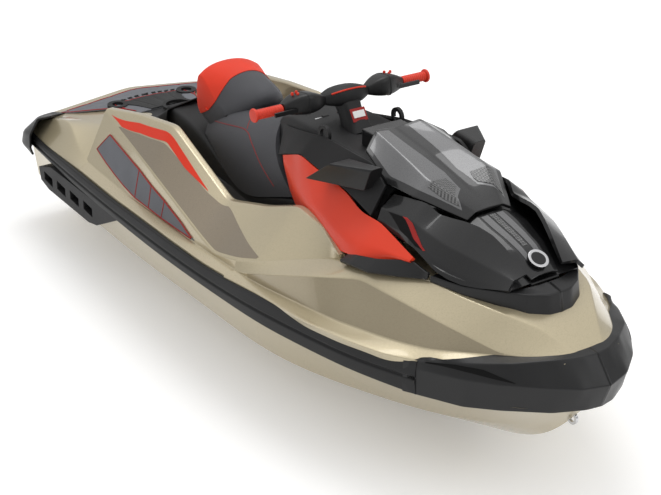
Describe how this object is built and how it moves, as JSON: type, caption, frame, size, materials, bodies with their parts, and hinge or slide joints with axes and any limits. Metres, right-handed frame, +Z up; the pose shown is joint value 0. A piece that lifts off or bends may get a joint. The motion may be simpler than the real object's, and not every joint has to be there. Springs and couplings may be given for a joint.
{
  "type": "personal watercraft",
  "caption": "Sit-on jet boat for one rider and a passenger, with steering bars, jet pump, steerable nozzle, reverse bucket and opening lids.",
  "frame": {"origin": "on the middle plane at the waterline, at half the length", "axes": "+X to the bow, +Y to port, +Z up"},
  "size_m": [3.3419, 1.2576, 1.0917],
  "materials": {
    "hull_paint": "champagne metallic gloss",
    "black_moulding": "satin black moulded plastic",
    "red_gloss": "gloss red-orange",
    "seat_vinyl": "textured dark grey marine vinyl",
    "foam_mat": "grooved grey traction mat",
    "hood_gloss": "gloss dark grey",
    "cast_alloy": "anodised cast alloy",
    "stainless": "polished stainless steel",
    "engine_grey": "painted casting",
    "grip_rubber": "soft red-orange rubber",
    "mirror_face": "mirror"
  },
  "bodies": {
    "root": {"hull": "hull_paint", "deck": "hull_paint", "engine_block": "engine_grey", "front_bin": "black_moulding", "rub_rails": "black_moulding", "bow_bumper": "black_moulding", "stern_caps": "black_moulding", "sponsons": "black_moulding", "seat_base": "black_moulding", "seat_cushion": "seat_vinyl", "backrest": "seat_vinyl", "rear_console": "black_moulding", "rear_deck_mat": "foam_mat", "cargo_sockets": "black_moulding", "console": "black_moulding", "knee_panels": "red_gloss", "side_fairings": "black_moulding", "cheek_panels": "hood_gloss", "nose_trim": "black_moulding", "mirror_housings": "black_moulding", "pump_housing": "cast_alloy", "ride_plate": "cast_alloy", "intake_grate": "cast_alloy", "bow_eye": "stainless", "stern_eyes": "stainless", "tow_ring": "black_moulding", "side_mats": "foam_mat", "footwell_mats": "foam_mat", "lower_trims": "black_moulding", "mirror_glass": "mirror_face", "gauge": "black_moulding", "dash_loops": "black_moulding", "stator": "cast_alloy", "venturi": "cast_alloy", "jet_pipe": "cast_alloy", "hood_hinge": "stainless", "glovebox_hinge": "stainless"},
    "steering": {"neck": "black_moulding", "handlebar": "stainless", "grips": "grip_rubber", "control_pods": "black_moulding", "bar_pad": "black_moulding", "levers": "black_moulding"},
    "trim_ring": {"trim_ring": "cast_alloy"},
    "steering_nozzle": {"steering_nozzle": "cast_alloy"},
    "reverse_bucket": {"reverse_bucket": "black_moulding"},
    "impeller": {"impeller": "stainless"},
    "hood_lid": {"hood_lid": "hood_gloss", "hood_nose": "hood_gloss", "hood_badge": "stainless"},
    "glovebox_lid": {"glovebox_lid": "black_moulding"}
  },
  "joints": [
    {"name": "steering_turn", "type": "hinge", "parent": "root", "child": "steering", "pos_m": [0.246, 0, 0.665], "axis": [-0.5446, 0, 0.8387], "range_deg": [-25, 25]},
    {"name": "trim_tilt", "type": "hinge", "parent": "root", "child": "trim_ring", "pos_m": [-1.404, 0, -0.085], "axis": [0, 1, 0], "range_deg": [-8, 8]},
    {"name": "nozzle_turn", "type": "hinge", "parent": "trim_ring", "child": "steering_nozzle", "pos_m": [-1.404, 0, -0.085], "axis": [0, 0, -1], "range_deg": [-20, 20]},
    {"name": "bucket_swing", "type": "hinge", "parent": "root", "child": "reverse_bucket", "pos_m": [-1.404, 0, -0.085], "axis": [0, -1, 0], "range_deg": [0, 80]},
    {"name": "impeller_spin", "type": "hinge", "parent": "root", "child": "impeller", "pos_m": [-1.159, 0, -0.085], "axis": [1, 0, 0], "continuous": true},
    {"name": "hood_open", "type": "hinge", "parent": "root", "child": "hood_lid", "pos_m": [1.313, 0, 0.495], "axis": [0, 1, 0], "range_deg": [0, 55]},
    {"name": "glovebox_open", "type": "hinge", "parent": "root", "child": "glovebox_lid", "pos_m": [0.077, 0, 0.691], "axis": [0, 1, 0], "range_deg": [0, 45]}
  ],
  "couplings": [
    {"joint": "nozzle_turn", "follows": "steering_turn", "ratio": 0.8}
  ]
}
